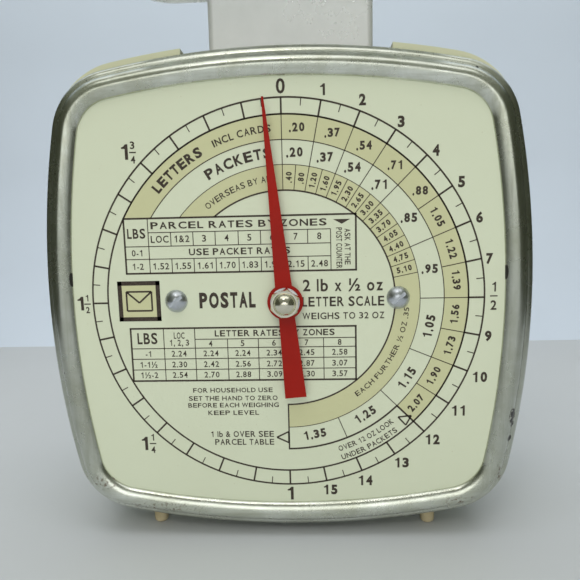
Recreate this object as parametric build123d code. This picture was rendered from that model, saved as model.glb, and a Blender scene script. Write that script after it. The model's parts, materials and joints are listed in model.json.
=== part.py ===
from build123d import *
import math
import os

# Counter-top letter scale.  Millimetres, +Z up, dial facing -Y.
# Origin: middle of the footprint, on the surface that the scale stands on.

# ---------------------------------------------------------------- driving dimensions
HUB_Z = 78.0              # height of the pointer hub above the counter
DIAL_Y = -33.5            # front face of the dial; depths below are measured back from it
CAPACITY_TRAVEL = 15.08   # the platform sinks this far for one turn of the pointer (32 oz)

FACE_BOW = 270.0          # long radius of the bowed sides of the square face
BEZEL_OPENING = 66.0      # half width of the hole in the bezel
BEZEL_OUTER = 75.4        # half width over the bezel's flange
FLANGE_BACK = 4.2         # depth of its back edge, just in front of the housing's rim
SKIRT_BACK = 6.2          # depth of the bezel's skirt, which plugs into the housing's rim
DIAL_HALF = 67.4
DIAL_THICK = 0.6

HOUSING_HALF = 75.0       # half width of the housing at its front rim
HOUSING_RISE = 2.4        # the housing sits this much higher than the bezel
SKIRT_HALF = 71.4         # half width over the bezel's skirt
SHEET = 1.0               # housing wall
HOUSING_FRONT = 5.0       # depths of the housing's front rim and back face
HOUSING_BACK = 74.5
NOTCH_X = (-30.0, 33.0)   # gap in the housing's top for the neck
NOTCH_BACK = 52.0
FOOT_X = 45.5
FOOT_R = 2.3
FOOT_FRONT = 9.8          # depths of the two rows of feet
FOOT_REAR = 62.0
FOOT_SEATS = {FOOT_FRONT: -66.9, FOOT_REAR: -65.2}   # height of the floor inside, at each row

CARRIAGE_X = 2.4          # the carriage hangs on the rack's pitch line
NECK_HALF = 26.4          # half width of the folded neck
NECK_FRONT = 20.0         # depth of its front face
NECK_DEEP = 24.0
NECK_SHEET = 1.2
NECK_BEND = 2.0
CARRIAGE_LOW = -52.0      # lower end of the carriage, from the hub
PLATE_TOP = 115.0         # weighing surface, from the hub
PLATE_X = 118.0
PLATE_Y = 80.0
PLATE_SHEET = 1.0
PLATE_SKIRT = 5.0
PLATE_CORNER = 12.0

MODULE = 0.4              # rack and pinion
TEETH = 12
BACKLASH = 0.12
RACK_ADDENDUM = 0.28
PITCH_R = MODULE * TEETH / 2
PITCH = math.pi * MODULE

LINK_SPAN = 42.0          # between the two pins of each parallel link
LINK_RISE = CAPACITY_TRAVEL / 2
LINK_Z = (38.0, -38.0)    # fixed pivots of the upper and lower link, from the hub
LINK_REAR = 67.5          # depth of the fixed pivots
LINK_FRONT = LINK_REAR - LINK_SPAN
PIN_R = 2.0
RUNNING = 0.05            # radial clearance of a running fit

CHASSIS_HALF = 38.0
CHASSIS_SHEET = 1.5
STRAP_FRONT = 5.0         # depth of the plate that carries the dial and the front bearing
BACK_PLATE_FRONT = 14.5
SCREW_X = (-33.9, 34.2)   # dial screws
SCREW_Z = 0.3
SCREW_HEAD_R = 3.55
SCREW_R = 1.75

ARBOR_R = 2.1
ARBOR_THIN_R = 1.2
POINTER_TIP = 60.0
POINTER_TAIL = 30.0
POINTER_GAP = 3.1         # from the dial to the back of the pointer
POINTER_SHEET = 0.4
POINTER_REST = -4.9       # degrees; the pointer stands a little short of zero
NUT_FLATS = 7.94
NUT_TURN = 23.0           # degrees, how the tightened nut happens to stand

SPRING_DEPTH = 34.0       # depth of the main spring's line
SPRING_R = 6.0            # mean radius of its coils
SPRING_WIRE = 0.6
SPRING_TOP = 52.0         # where its hooks hang, from the hub
SPRING_LOW = -2.0
BRIDGE_Z = 66.0           # underside of the bracket that the spring hangs from
ROD_R = 2.0
HOOK_ROOM = 6.4           # radius of the hole in the stop tab that passes over the spring's hook
LIFT_GAP = 0.6            # the carriage can be lifted this far before it meets its stop


# ---------------------------------------------------------------- helpers
def at(x, depth, height):
    """Point given by x, depth behind the dial and height above the hub."""
    return Vector(x, DIAL_Y + depth, HUB_Z + height)


def block(x, depth, height):
    """Box between pairs of x, depth and height."""
    size = (x[1] - x[0], depth[1] - depth[0], height[1] - height[0])
    corner = at(x[0], depth[0], height[0])
    return Pos(corner) * Box(*size, align=(Align.MIN, Align.MIN, Align.MIN))


def rod_x(radius, x, depth, height):
    """Cylinder along X."""
    centre = at((x[0] + x[1]) / 2, depth, height)
    return Pos(centre) * Rot(0, 90, 0) * Cylinder(radius, x[1] - x[0])


def rod_y(radius, x, depth, height):
    """Cylinder along Y, between two depths."""
    centre = at(x, (depth[0] + depth[1]) / 2, height)
    return Pos(centre) * Rot(90, 0, 0) * Cylinder(radius, depth[1] - depth[0])


def rod_z(radius, x, depth, height):
    """Cylinder along Z, between two heights."""
    centre = at(x, depth, (height[0] + height[1]) / 2)
    return Pos(centre) * Cylinder(radius, height[1] - height[0])


def bowed_square(half, depth, corner, rise=0.0, bow=FACE_BOW):
    """Upright face with four bowed sides and round corners, like an old screen."""
    drop = bow - half
    reach = (math.sqrt(2 * (bow - corner) ** 2 - drop ** 2) - drop) / 2
    stretch = bow / (bow - corner)
    near = reach * stretch
    far = (reach + drop) * stretch - drop
    tip = reach + corner * math.sqrt(0.5)
    edges = []
    for turn in range(4):
        angle = math.radians(90 * turn)
        cos, sin = math.cos(angle), math.sin(angle)

        def place(u, v):
            return at(u * cos - v * sin, depth, u * sin + v * cos + rise)

        edges.append(ThreePointArc(place(near, far), place(0, half), place(-near, far)))
        edges.append(ThreePointArc(place(-near, far), place(-tip, tip), place(-far, near)))
    return Face(Wire(edges))


def bowed_loft(stations, rise=0.0):
    """Solid through bowed squares given as (half width, depth, corner radius)."""
    return loft([bowed_square(*station, rise) for station in stations], ruled=True)


def screw_head(radius, height, slot_angle):
    """Domed, slotted head on the XY plane with its dome towards +Z."""
    ball_r = (radius ** 2 + height ** 2) / (2 * height)
    dome = Pos(0, 0, height - ball_r) * Sphere(ball_r)
    head = Cylinder(radius, height, align=(Align.CENTER, Align.CENTER, Align.MIN)) & dome
    slot = Box(3 * radius, 1.0, 1.0, align=(Align.CENTER, Align.CENTER, Align.MIN))
    return head - Pos(0, 0, height - 0.9) * Rot(0, 0, slot_angle) * slot


def save(solid, name):
    """Write one named sub-part."""
    solid.label = name
    export_step(solid, os.path.join("parts", name + ".step"))


# ---------------------------------------------------------------- casing
def front_bezel():
    """Plated frame: a rounded swell around the dial, a valley and a flange that covers the rim."""
    swell = bowed_loft([(66.7, -1.0, 12.6), (67.6, -1.5, 13.4), (68.9, -1.9, 14.6), (70.4, -1.8, 16.0),
                        (71.6, -1.1, 17.0), (72.4, -0.1, 17.8), (73.0, 1.3, 18.3)])
    flange = bowed_loft([(73.0, 1.3, 18.3), (BEZEL_OUTER, FLANGE_BACK - 0.4, 20.4),
                         (BEZEL_OUTER, FLANGE_BACK, 20.4)])
    skirt = bowed_loft([(SKIRT_HALF, 2.0, 16.9), (SKIRT_HALF, SKIRT_BACK, 16.9)])
    opening = bowed_loft([(66.7, -1.0, 12.6), (BEZEL_OPENING, -0.1, 12.0), (BEZEL_OPENING, 0.3, 12.0)])
    seat_half = SKIRT_HALF - 0.8
    seat = bowed_loft([(67.6, -0.05, 13.4), (68.7, -0.9, 14.4), (69.9, -0.9, 15.5),
                       (seat_half, 0.3, 16.1), (seat_half, SKIRT_BACK, 16.1)])
    return swell + flange + skirt - opening - seat


def dial_plate():
    """Enamelled sheet behind the bezel, with holes for the arbor and two screws."""
    plate = bowed_loft([(DIAL_HALF, 0.0, 13.2), (DIAL_HALF, DIAL_THICK, 13.2)])
    plate -= rod_y(3.3, 0, (-1, 2), 0)
    for x in SCREW_X:
        plate -= rod_y(SCREW_R + 0.2, x, (-1, 2), SCREW_Z)
    return plate


def housing_holes():
    """Places of the screws that hold the chassis to the housing's back."""
    return [(x, z) for x in (-30.0, 30.0) for z in (-46.0, 46.0)]


def housing():
    """Drawn tub with a turned-in front rim, a gap on top for the neck and holes for feet."""
    wall = [(HOUSING_HALF, HOUSING_FRONT, 23), (HOUSING_HALF - 0.2, 12, 23), (73.2, 64, 21.5),
            (71.8, 70, 20), (69.2, 73.5, 17.5), (67.0, HOUSING_BACK, 15.5)]
    outer = bowed_loft(wall, HOUSING_RISE)
    inner = bowed_loft([(wall[0][0] - SHEET, HOUSING_FRONT + SHEET, 22), (wall[1][0] - SHEET, 12, 22),
                        (72.2, 63.6, 20.5), (70.9, 69.5, 19), (68.6, 72.6, 16.9),
                        (66.6, HOUSING_BACK - SHEET, 15.1)], HOUSING_RISE)
    hole_half = SKIRT_HALF + 0.4
    rim = bowed_loft([(hole_half, HOUSING_FRONT - 1, 17.3), (hole_half, HOUSING_FRONT + 2, 17.3)])
    tub = outer - inner - rim
    tub -= block(NOTCH_X, (HOUSING_FRONT - 1, NOTCH_BACK), (60, 90))
    for x, depth in foot_places():
        tub -= rod_z(FOOT_R + 0.05, x, depth, (-80, -60))
    for x, z in housing_holes():
        tub -= rod_y(1.6, x, (70, 80), z)
    return tub


def housing_screws():
    """Four screws through the housing's back into the chassis."""
    group = []
    for x, z in housing_holes():
        head = Pos(at(x, HOUSING_BACK, z)) * Rot(-90, 0, 0) * screw_head(3.0, 2.0, 35)
        group.append(head + rod_y(1.5, x, (71.0, HOUSING_BACK + 0.5), z))
    return Compound(children=group)


def foot_places():
    """X and depth of the four feet."""
    return [(x, depth) for depth in (FOOT_FRONT, FOOT_REAR) for x in (-FOOT_X, FOOT_X)]


def foot(x, depth):
    """Round stud with a softened end, and a collar inside the housing."""
    seat = FOOT_SEATS[depth]
    stud = rod_z(FOOT_R, x, depth, (-HUB_Z, seat + 1.0))
    stud = fillet(stud.edges().sort_by(Axis.Z)[0], 1.0)
    return stud + rod_z(FOOT_R + 1.2, x, depth, (seat, seat + 1.5))


# ---------------------------------------------------------------- frame
def chassis():
    """Folded frame: back plate, two windowed cheeks and front tabs for the dial screws."""
    wide = (-CHASSIS_HALF, CHASSIS_HALF)
    back = block(wide, (72, 73.5), (-58, 58))
    back -= block((-22, 22), (70, 75), (-28, 28))
    for x, z in housing_holes():
        back -= rod_y(1.5, x, (70, 75), z)
    frame = back
    for side in (-1, 1):
        cheek_x = sorted((side * CHASSIS_HALF, side * (CHASSIS_HALF - CHASSIS_SHEET)))
        through = (cheek_x[0] - 1, cheek_x[1] + 1)
        cheek = block(cheek_x, (52, 73.5), (-50, 50)) + block(cheek_x, (6.5, 60), (-12, 12))
        cheek = fillet(cheek.edges().filter_by(Axis.X).group_by(Axis.Y)[1], 8)
        for height in ((-34, -16), (16, 34)):
            cheek -= fillet(block(through, (58, 68), height).edges().filter_by(Axis.X), 4)
        for z in LINK_Z:
            cheek -= rod_x(PIN_R, through, LINK_REAR, z)
        tab_x = sorted((side * (CHASSIS_HALF - 10), side * CHASSIS_HALF))
        frame += cheek + block(tab_x, (6.5, 8), (-12, 12))
    for x in SCREW_X:
        frame -= rod_y(SCREW_R, x, (6, 9), SCREW_Z)
    return frame


def bearing_strap():
    """Plate across the front of the chassis that carries the dial and the front bush."""
    strap = block((-CHASSIS_HALF, CHASSIS_HALF), (STRAP_FRONT, STRAP_FRONT + 1.5), (-12, 12))
    strap = fillet(strap.edges().filter_by(Axis.Y), 4)
    strap -= rod_y(4.0, 0, (4, 8), 0)
    for x in SCREW_X:
        strap -= rod_y(SCREW_R, x, (4, 8), SCREW_Z)
    for x, z in pillar_places():
        strap -= rod_y(1.5, x, (4, 8), z)
    return strap


def pillar_places():
    """X and height of the pillars between the two bearing plates."""
    return [(x, z) for x in (-12.0, 12.0) for z in (-6.5, 5.0)]


def bearing_pillars():
    """Four shouldered pillars that hold the back bearing plate off the strap."""
    group = []
    for x, z in pillar_places():
        post = rod_y(2.5, x, (STRAP_FRONT + 1.5, BACK_PLATE_FRONT), z)
        group.append(post + rod_y(1.5, x, (STRAP_FRONT - 0.3, BACK_PLATE_FRONT + 1.8), z))
    return Compound(children=group)


def bearing_plate():
    """Small plate behind the pinion with the back bush."""
    plate = block((-16, 16), (BACK_PLATE_FRONT, BACK_PLATE_FRONT + 1.5), (-10.5, 8.0))
    plate = fillet(plate.edges().filter_by(Axis.Y), 3)
    plate -= rod_y(3.0, 0, (14, 17), 0)
    for x, z in pillar_places():
        plate -= rod_y(1.5, x, (14, 17), z)
    return plate


def front_bush():
    """Flanged bush for the thick part of the arbor."""
    bush = rod_y(4.0, 0, (STRAP_FRONT, STRAP_FRONT + 1.5), 0)
    bush += rod_y(5.2, 0, (STRAP_FRONT - 1.2, STRAP_FRONT), 0)
    return bush - rod_y(ARBOR_R + RUNNING, 0, (2, 9), 0)


def back_bush():
    """Bush for the thin end of the arbor."""
    bush = rod_y(3.0, 0, (BACK_PLATE_FRONT, BACK_PLATE_FRONT + 1.5), 0)
    bush += rod_y(4.0, 0, (BACK_PLATE_FRONT - 0.8, BACK_PLATE_FRONT), 0)
    return bush - rod_y(ARBOR_THIN_R + RUNNING, 0, (13, 18), 0)


def dial_spacers():
    """Two tubes that hold the dial off the strap."""
    group = []
    for x in SCREW_X:
        tube = rod_y(3.5, x, (DIAL_THICK, STRAP_FRONT), SCREW_Z)
        group.append(tube - rod_y(SCREW_R + 0.1, x, (0, 6), SCREW_Z))
    return Compound(children=group)


def dial_screws():
    """Two slotted screws through the dial."""
    group = []
    for x in SCREW_X:
        head = Pos(at(x, 0, SCREW_Z)) * Rot(90, 0, 0) * screw_head(SCREW_HEAD_R, 2.1, 38)
        group.append(head + rod_y(SCREW_R, x, (-0.3, 9.0), SCREW_Z))
    return Compound(children=group)


def spring_bridge():
    """Bracket from the chassis back that reaches forward over the main spring."""
    middle = (CARRIAGE_X - 14, CARRIAGE_X + 14)
    tongue = block(middle, (26, 72), (BRIDGE_Z, BRIDGE_Z + 1.5))
    tongue = fillet(tongue.edges().filter_by(Axis.Z).sort_by(Axis.Y)[0:2], 5)
    leg = block(middle, (70.5, 72), (46, BRIDGE_Z + 1.5))
    ribs = block((middle[0], middle[0] + 1.5), (50, 72), (BRIDGE_Z - 8, BRIDGE_Z))
    ribs += block((middle[1] - 1.5, middle[1]), (50, 72), (BRIDGE_Z - 8, BRIDGE_Z))
    bridge = tongue + leg + ribs
    bridge -= rod_z(ROD_R + 0.1, CARRIAGE_X, SPRING_DEPTH, (60, 70))
    for x, z in bridge_screw_places():
        bridge -= rod_y(1.5, x, (69, 73), z)
    return bridge


def bridge_screw_places():
    """X and height of the screws that hold the bridge to the chassis."""
    return [(CARRIAGE_X - 8, 52.0), (CARRIAGE_X + 8, 52.0)]


def bridge_screws():
    """Two screws with their heads inside the chassis."""
    group = []
    for x, z in bridge_screw_places():
        head = Pos(at(x, 70.5, z)) * Rot(90, 0, 0) * screw_head(2.8, 1.8, 10)
        group.append(head + rod_y(1.5, x, (70.2, 72.0), z))
    return Compound(children=group)


def lift_washer():
    """Rubber washer under the bridge that stops the carriage when it is lifted."""
    ring = rod_z(HOOK_ROOM + 3, CARRIAGE_X, SPRING_DEPTH, (BRIDGE_Z - 0.8, BRIDGE_Z))
    return ring - rod_z(ROD_R + 0.4, CARRIAGE_X, SPRING_DEPTH, (60, 70))


def travel_bumper():
    """Rubber block on the housing floor that stops an overloaded carriage."""
    top = CARRIAGE_LOW - CAPACITY_TRAVEL - 0.2
    pad = block((CARRIAGE_X - 12, CARRIAGE_X + 12), (NECK_FRONT - 3, NECK_FRONT + 6), (top - 3.35, top))
    return chamfer(pad.edges().group_by(Axis.Z)[-1], 1.0)


# ---------------------------------------------------------------- weighing carriage
def neck_channel(height):
    """Folded channel, open at the back, between two heights."""
    x = (CARRIAGE_X - NECK_HALF, CARRIAGE_X + NECK_HALF)
    outer = block(x, (NECK_FRONT, NECK_FRONT + NECK_DEEP), height)
    outer = fillet(outer.edges().filter_by(Axis.Z).sort_by(Axis.Y)[0:2], NECK_BEND)
    inner = block((x[0] + NECK_SHEET, x[1] - NECK_SHEET),
                  (NECK_FRONT + NECK_SHEET, NECK_FRONT + NECK_DEEP + 5),
                  (height[0] - 1, height[1] + 1))
    inner = fillet(inner.edges().filter_by(Axis.Z).sort_by(Axis.Y)[0:2], NECK_BEND - NECK_SHEET)
    return outer - inner


def platform_screw_places():
    """X and depth of the three screws that hold the platform."""
    side = NECK_HALF + 5
    return [(CARRIAGE_X - side, 33.0), (CARRIAGE_X + side, 33.0), (CARRIAGE_X, 14.0)]


def carriage():
    """Neck and hanger in one folding: top tabs, spring lug, lift-stop tab and pin holes."""
    top = PLATE_TOP - PLATE_SHEET
    body = neck_channel((CARRIAGE_LOW, top))
    edge = (CARRIAGE_X - NECK_HALF, CARRIAGE_X + NECK_HALF)
    tab = (top - NECK_SHEET, top)
    body += block((edge[0] - 10, edge[0] + NECK_SHEET), (26, 40), tab)
    body += block((edge[1] - NECK_SHEET, edge[1] + 10), (26, 40), tab)
    body += block((CARRIAGE_X - 8, CARRIAGE_X + 8), (8, NECK_FRONT + NECK_SHEET), tab)
    for x, depth in platform_screw_places():
        body -= rod_z(1.5, x, depth, (top - 5, top + 5))
    lug = block((CARRIAGE_X - 1, CARRIAGE_X + 1), (NECK_FRONT + 0.5, SPRING_DEPTH + 5), (-7, 3))
    body += lug - rod_x(1.6, (CARRIAGE_X - 3, CARRIAGE_X + 3), SPRING_DEPTH, SPRING_LOW)
    stop_top = BRIDGE_Z - 0.8 - LIFT_GAP
    stop = block((CARRIAGE_X - 11, CARRIAGE_X + 11), (NECK_FRONT + 0.5, SPRING_DEPTH + 10),
                 (stop_top - NECK_SHEET, stop_top))
    body += stop - rod_z(HOOK_ROOM, CARRIAGE_X, SPRING_DEPTH, (55, 70))
    body -= fillet(block((CARRIAGE_X - 15, CARRIAGE_X + 15), (NECK_FRONT - 1, NECK_FRONT + 3),
                         (-48, -14)).edges().filter_by(Axis.Y), 5)
    for z in LINK_Z:
        body -= rod_x(PIN_R, (edge[0] - 1, edge[1] + 1), LINK_FRONT, z + LINK_RISE)
    return body


def platform():
    """Flat weighing plate with round corners and a turned-down edge."""
    centre = at(CARRIAGE_X, NECK_FRONT + NECK_DEEP / 2, PLATE_TOP)
    outer = Pos(centre) * Box(PLATE_X, PLATE_Y, PLATE_SKIRT, align=(Align.CENTER, Align.CENTER, Align.MAX))
    outer = fillet(outer.edges().filter_by(Axis.Z), PLATE_CORNER)
    outer = fillet(outer.edges().group_by(Axis.Z)[-1], 1.8)
    inner = Pos(centre - Vector(0, 0, PLATE_SHEET)) * Box(
        PLATE_X - 2 * PLATE_SHEET, PLATE_Y - 2 * PLATE_SHEET, PLATE_SKIRT,
        align=(Align.CENTER, Align.CENTER, Align.MAX))
    inner = fillet(inner.edges().filter_by(Axis.Z), PLATE_CORNER - PLATE_SHEET)
    plate = outer - inner
    for x, depth in platform_screw_places():
        plate -= platform_screw(x, depth)
    return plate


def platform_screw(x, depth):
    """Countersunk screw, its head flush with the plate."""
    middle = (Align.CENTER, Align.CENTER, Align.MAX)
    cone = Pos(at(x, depth, PLATE_TOP)) * Cone(1.5, 2.8, PLATE_SHEET, align=middle)
    return cone + rod_z(1.5, x, depth, (PLATE_TOP - 7, PLATE_TOP - 1))


def platform_screws():
    """Three countersunk screws, slotted."""
    group = []
    for x, depth in platform_screw_places():
        slot = block((x - 4, x + 4), (depth - 0.4, depth + 0.4), (PLATE_TOP - 0.7, PLATE_TOP + 1))
        group.append(platform_screw(x, depth) - slot)
    return Compound(children=group)


def carriage_pin(z):
    """Pin across the carriage that works in the ends of a link."""
    arm = NECK_HALF + 6.2
    return rod_x(PIN_R, (CARRIAGE_X - arm, CARRIAGE_X + arm), LINK_FRONT, z + LINK_RISE)


def chassis_pin(z):
    """Fixed pin across the chassis with a peened head at each end."""
    pin = rod_x(PIN_R, (-CHASSIS_HALF - 1.0, CHASSIS_HALF + 1.0), LINK_REAR, z)
    for side in (-1, 1):
        head = sorted((side * CHASSIS_HALF, side * (CHASSIS_HALF + 1.0)))
        pin += rod_x(PIN_R + 0.9, head, LINK_REAR, z)
    return pin


def link(z):
    """Parallel link: two arms on a cross tube, with a tie between them."""
    pivot = at(0, LINK_REAR, z)
    angle = math.degrees(math.atan2(LINK_RISE, LINK_SPAN))
    reach = LINK_SPAN + 0.4
    part = Rot(0, 90, 0) * Cylinder(3.2, 2 * CHASSIS_HALF - 2 * CHASSIS_SHEET - 0.6)
    arm_x = NECK_HALF + 3.0
    for side in (-1, 1):
        low = min(side * arm_x, side * (arm_x + 1.5))
        arm = Pos(CARRIAGE_X + low, -reach, -4.5) * Box(1.5, reach, 9.0, align=(Align.MIN, Align.MIN, Align.MIN))
        for y in (0, -reach):
            arm += Pos(CARRIAGE_X + low + 0.75, y, 0) * Rot(0, 90, 0) * Cylinder(4.5, 1.5)
        slot = Pos(CARRIAGE_X + low + 0.75, -reach, 0) * Box(3, 1.1, 2 * (PIN_R + 0.1))
        for y in (-0.55, 0.55):
            slot += (Pos(CARRIAGE_X + low + 0.75, -reach + y, 0) * Rot(0, 90, 0)
                     * Cylinder(PIN_R + 0.1, 3))
        part += arm - slot
    tie = Pos(CARRIAGE_X - arm_x - 0.5, -16, -0.6) * Box(
        2 * arm_x + 1, 15, 1.2, align=(Align.MIN, Align.MIN, Align.MIN))
    part += tie
    part -= Rot(0, 90, 0) * Cylinder(PIN_R + RUNNING, 100)
    return Pos(pivot) * Rot(-angle, 0, 0) * part


# ---------------------------------------------------------------- rack, pinion and pointer
def rack():
    """Toothed brass bar; its pitch line touches the pinion's pitch circle."""
    low, high = -4.0, 34.0
    root = PITCH_R + MODULE * 1.3
    bar = block((root, root + 4.2), (8.5, 11.5), (low, high))
    half_base = (PITCH / 2 - BACKLASH / 2) / 2 + (root - PITCH_R) * math.tan(math.radians(20))
    half_tip = (PITCH / 2 - BACKLASH / 2) / 2 - RACK_ADDENDUM * math.tan(math.radians(20))
    tip = PITCH_R - RACK_ADDENDUM
    for index in range(-3, 14):
        middle = (index + 0.5) * PITCH
        outline = Polyline(at(root + 0.2, 8.5, middle - half_base), at(root, 8.5, middle - half_base),
                           at(tip, 8.5, middle - half_tip), at(tip, 8.5, middle + half_tip),
                           at(root, 8.5, middle + half_base), at(root + 0.2, 8.5, middle + half_base),
                           close=True)
        bar += extrude(Face(Wire(outline.edges())), 3.0, dir=(0, 1, 0))
    return bar - rod_y(1.25, root + 2.4, (8, 12), 29.0)


def rack_bracket():
    """Foot on the neck with an arm that holds the rack in front of it."""
    foot_plate = block((-8, 14), (NECK_FRONT - 1.5, NECK_FRONT), (24, 34))
    arm = block((3.2, 7.4), (11.5, NECK_FRONT), (24, 34))
    bracket = foot_plate + arm
    bracket -= rod_y(1.25, PITCH_R + MODULE * 1.3 + 2.4, (11, 17), 29.0)
    for x in (-5.0, 11.0):
        bracket -= rod_y(1.25, x, (18, 21), 29.0)
    return bracket


def rack_screws():
    """One screw through the rack and two rivets through the bracket's foot."""
    x = PITCH_R + MODULE * 1.3 + 2.4
    head = Pos(at(x, 8.5, 29.0)) * Rot(90, 0, 0) * screw_head(2.0, 1.2, 60)
    group = [head + rod_y(1.25, x, (8.4, 17.0), 29.0)]
    for x in (-5.0, 11.0):
        rivet_head = Pos(at(x, NECK_FRONT - 1.5, 29.0)) * Rot(90, 0, 0) * screw_head(2.2, 1.0, 0)
        group.append(rivet_head + rod_y(1.25, x, (18.4, 20.0), 29.0))
    return Compound(children=group)


def pinion():
    """Small gear with involute flanks, in mesh with the rack on its +X side."""
    base_r = PITCH_R * math.cos(math.radians(20))
    tip_r = PITCH_R + MODULE
    root_r = PITCH_R - RACK_ADDENDUM - 0.12
    half_pitch_angle = (PITCH / 2 - BACKLASH / 2) / 2 / PITCH_R
    inv_pitch = math.tan(math.radians(20)) - math.radians(20)

    def flank(radius):
        pressure = math.acos(min(1.0, base_r / radius))
        return half_pitch_angle + inv_pitch - (math.tan(pressure) - pressure)

    radii = [root_r] + [base_r + (tip_r - base_r) * step / 4 for step in range(5)]
    angles = [flank(base_r)] + [flank(radius) for radius in radii[1:]]
    gear = rod_y(root_r, 0, (8, 12), 0)
    for tooth in range(TEETH):
        centre = 2 * math.pi * tooth / TEETH
        side = [(radius, centre + angle) for radius, angle in zip(radii, angles)]
        other = [(radius, centre - angle) for radius, angle in zip(radii, angles)]
        ring = [(root_r - 0.3, centre + angles[0])] + side + other[::-1]
        ring += [(root_r - 0.3, centre - angles[0])]
        points = [at(radius * math.cos(angle), 8, radius * math.sin(angle)) for radius, angle in ring]
        gear += extrude(Face(Wire(Polyline(*points, close=True).edges())), 4.0, dir=(0, 1, 0))
    return gear - rod_y(ARBOR_THIN_R, 0, (7, 13), 0)


def arbor():
    """Stepped spindle from the dome nut back to the back bush."""
    shaft = rod_y(ARBOR_R, 0, (-8.0, 7.5), 0)
    return shaft + rod_y(ARBOR_THIN_R, 0, (7.5, 17.0), 0)


def pointer():
    """Long tapered needle and a broad tail on a round hub."""
    front = -POINTER_GAP - POINTER_SHEET
    tip_half, root_half = 0.3, 2.55
    tail_root, tail_end = 2.25, 3.3
    outline = Polyline(at(-tip_half, front, POINTER_TIP), at(tip_half, front, POINTER_TIP),
                       at(root_half, front, 5.0), at(tail_root, front, 0), at(tail_end, front, -POINTER_TAIL),
                       at(-tail_end, front, -POINTER_TAIL), at(-tail_root, front, 0),
                       at(-root_half, front, 5.0), close=True)
    needle = extrude(Face(Wire(outline.edges())), POINTER_SHEET, dir=(0, 1, 0))
    needle += rod_y(5.4, 0, (front, -POINTER_GAP), 0)
    needle -= rod_y(ARBOR_R, 0, (-6, 2), 0)
    hub = at(0, 0, 0)
    return Pos(hub) * Rot(0, POINTER_REST, 0) * Pos(-hub) * needle


def pointer_bush():
    """Collar behind the pointer."""
    return rod_y(3.6, 0, (-POINTER_GAP, -0.5), 0) - rod_y(ARBOR_R, 0, (-6, 2), 0)


def pointer_washer():
    """Flat washer between the pointer and the nut."""
    front = -POINTER_GAP - POINTER_SHEET
    return rod_y(4.4, 0, (front - 0.7, front), 0) - rod_y(ARBOR_R, 0, (-6, 2), 0)


def dome_nut():
    """Acorn nut on the front of the arbor."""
    seat = -POINTER_GAP - POINTER_SHEET - 0.7
    corner_r = NUT_FLATS / math.sqrt(3)
    turns = [math.radians(NUT_TURN + 60 * k) for k in range(6)]
    ring = [(corner_r * math.cos(turn), corner_r * math.sin(turn)) for turn in turns]
    points = [at(x, seat, z) for x, z in ring]
    prism = extrude(Face(Wire(Polyline(*points, close=True).edges())), 3.2, dir=(0, -1, 0))
    prism &= Pos(at(0, seat - 0.6, 0)) * Sphere(4.75)
    dome_tip = -9.5
    dome_r = 3.8
    dome = Pos(at(0, dome_tip + dome_r, 0)) * Sphere(dome_r) & block((-5, 5), (-12, seat), (-5, 5))
    nut = prism + dome + rod_y(dome_r, 0, (dome_tip + dome_r, seat), 0)
    return nut - rod_y(ARBOR_R, 0, (-8.0, 2), 0)


# ---------------------------------------------------------------- spring and zero adjuster
def main_spring():
    """Extension spring: a sleeve the size of its close coils, and a hook ring at each end."""
    ring_r = 5.0
    low = SPRING_LOW + 2 * ring_r
    high = SPRING_TOP - 2 * ring_r
    coils = rod_z(SPRING_R + SPRING_WIRE, CARRIAGE_X, SPRING_DEPTH, (low, high))
    coils -= rod_z(SPRING_R - SPRING_WIRE, CARRIAGE_X, SPRING_DEPTH, (low - 1, high + 1))
    for height, tie in ((SPRING_TOP - ring_r, high), (SPRING_LOW + ring_r, low)):
        hook = Pos(at(CARRIAGE_X, SPRING_DEPTH, height)) * Rot(90, 0, 0) * Torus(ring_r, SPRING_WIRE)
        end = (tie - 0.6, tie + 0.6)
        coils += hook + block((CARRIAGE_X - 5.8, CARRIAGE_X + 5.8), (SPRING_DEPTH - 0.6, SPRING_DEPTH + 0.6), end)
    return coils


def spring_anchor():
    """Threaded rod through the bridge with a flat eye for the spring's upper hook."""
    rod = rod_z(ROD_R, CARRIAGE_X, SPRING_DEPTH, (SPRING_TOP + 4, 88))
    eye = block((CARRIAGE_X - 1, CARRIAGE_X + 1), (SPRING_DEPTH - 3.5, SPRING_DEPTH + 3.5),
                (SPRING_TOP - 3.0, SPRING_TOP + 5))
    eye = fillet(eye.edges().filter_by(Axis.X), 2.0)
    return rod + eye - rod_x(1.6, (CARRIAGE_X - 3, CARRIAGE_X + 3), SPRING_DEPTH, SPRING_TOP)


def zero_knob():
    """Knurled thumb nut that stands on the bridge and raises or lowers the anchor rod."""
    seat = BRIDGE_Z + 1.5
    knob = rod_z(4.5, CARRIAGE_X, SPRING_DEPTH, (seat, 81))
    grip = rod_z(8.0, CARRIAGE_X, SPRING_DEPTH, (80, 86))
    grip = chamfer(grip.edges().filter_by(GeomType.CIRCLE), 0.6)
    ribs = 24
    for index in range(ribs):
        angle = 2 * math.pi * index / ribs
        grip -= rod_z(0.6, CARRIAGE_X + 8.2 * math.cos(angle), SPRING_DEPTH + 8.2 * math.sin(angle), (79, 87))
    return knob + grip - rod_z(ROD_R + RUNNING, CARRIAGE_X, SPRING_DEPTH, (60, 90))


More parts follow.
